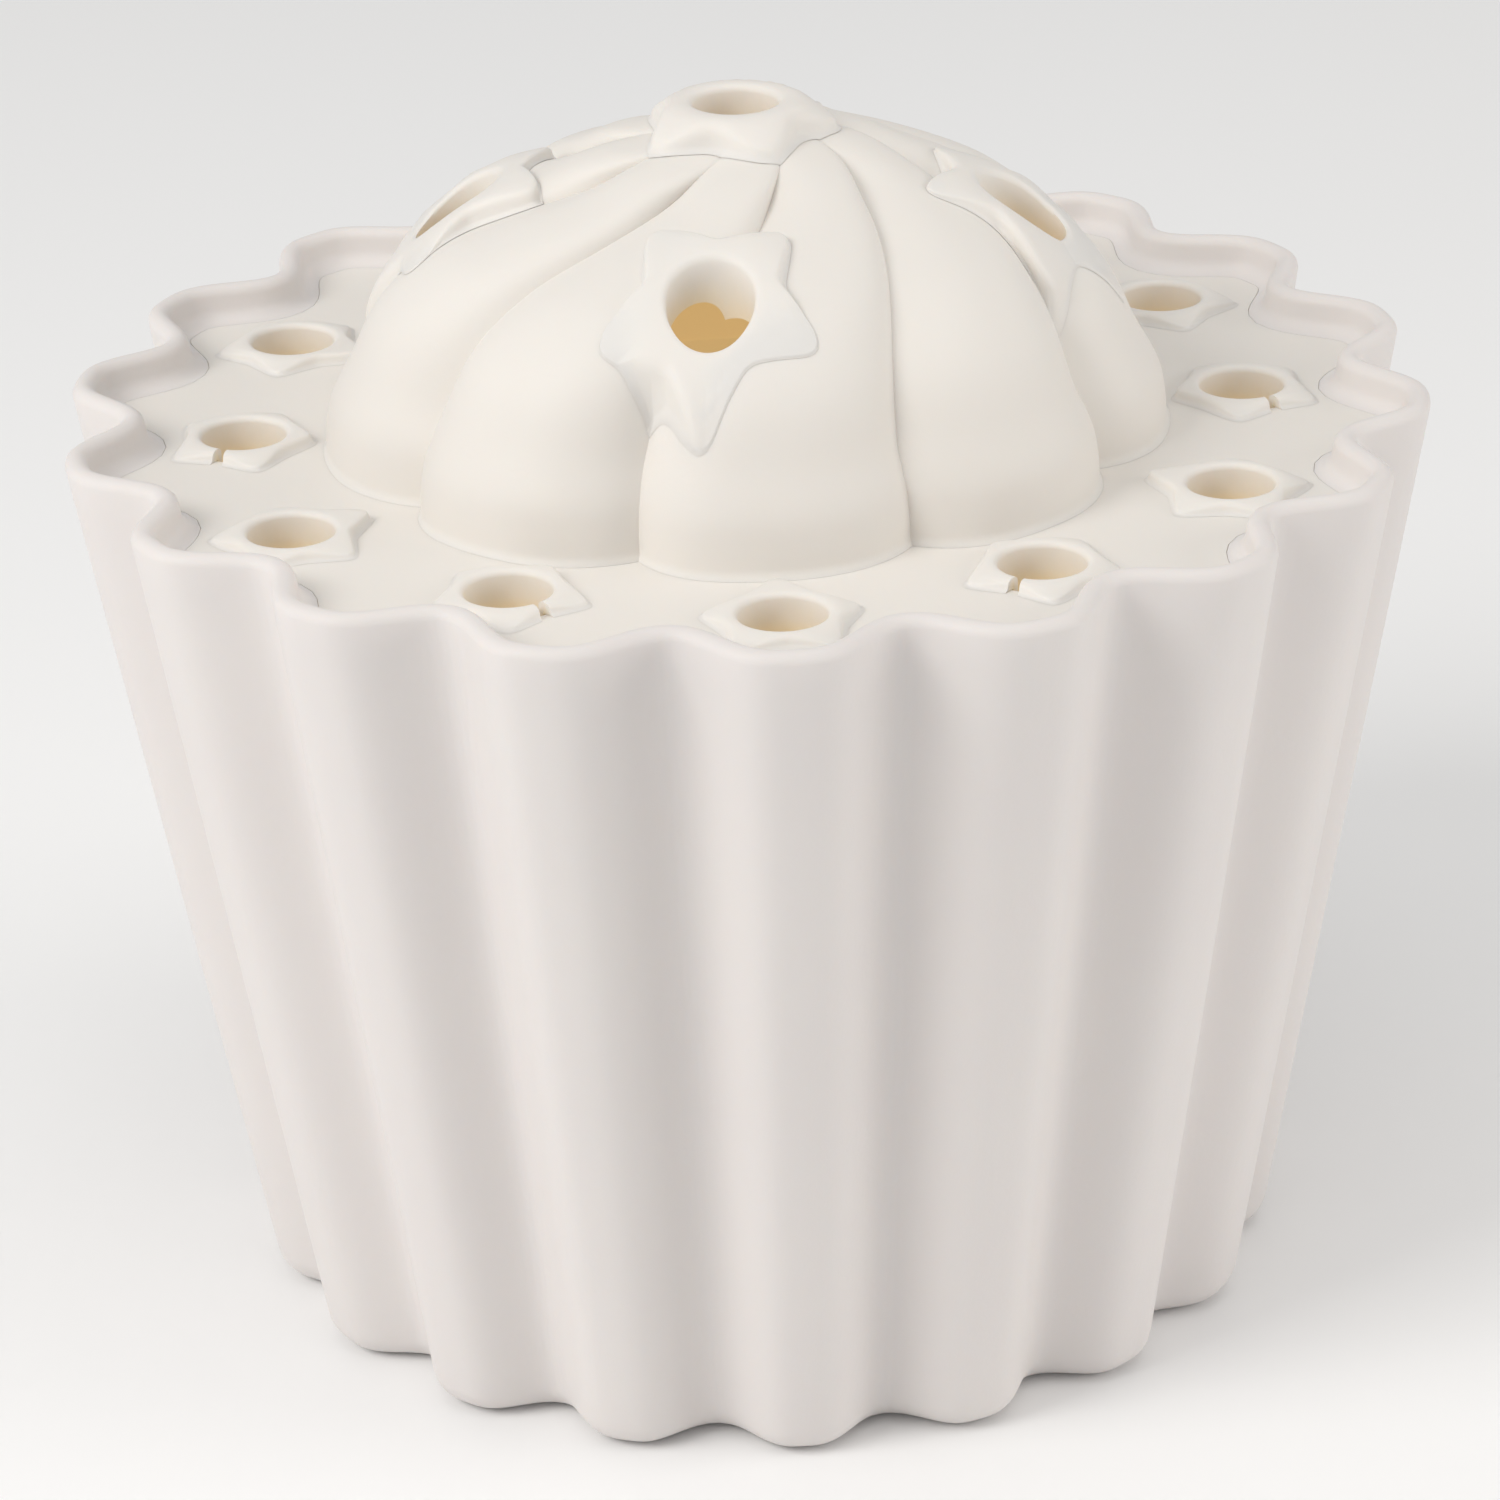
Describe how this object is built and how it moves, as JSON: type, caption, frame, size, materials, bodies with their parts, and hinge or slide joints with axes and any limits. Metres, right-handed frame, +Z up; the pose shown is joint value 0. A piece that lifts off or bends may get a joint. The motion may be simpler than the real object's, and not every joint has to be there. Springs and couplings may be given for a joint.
{
  "type": "flower frog",
  "caption": "Fluted cup flower frog with a lift-off lid: a flat deck and a swirled hollow dome, both pierced by star-shaped stem collars.",
  "frame": {"origin": "centre of the flat underside of the cup", "axes": "+Z up along the cup's axis; the front, with one dome collar facing it, is toward -Y"},
  "size_m": [0.1286, 0.1294, 0.117],
  "materials": {
    "cup": "matte, very fine grain",
    "lid": "matte, very fine grain",
    "collar": "matte, smooth"
  },
  "bodies": {
    "cup": {"fluted_cup": "cup"},
    "lid": {"deck_plate": "lid", "frosting_dome": "lid", "ring_star_1": "collar", "ring_star_split_2": "collar", "ring_star_3": "collar", "ring_star_split_4": "collar", "ring_star_5": "collar", "ring_star_split_6": "collar", "ring_star_7": "collar", "ring_star_split_8": "collar", "ring_star_9": "collar", "ring_star_split_10": "collar", "ring_star_11": "collar", "ring_star_split_12": "collar", "dome_star_1": "collar", "dome_star_2": "collar", "dome_star_3": "collar", "dome_star_4": "collar", "apex_star": "collar"}
  },
  "joints": [
    {"name": "lid_lift", "type": "slide", "parent": "cup", "child": "lid", "axis": [0, 0, 1], "range_m": [0, 0.045]}
  ]
}
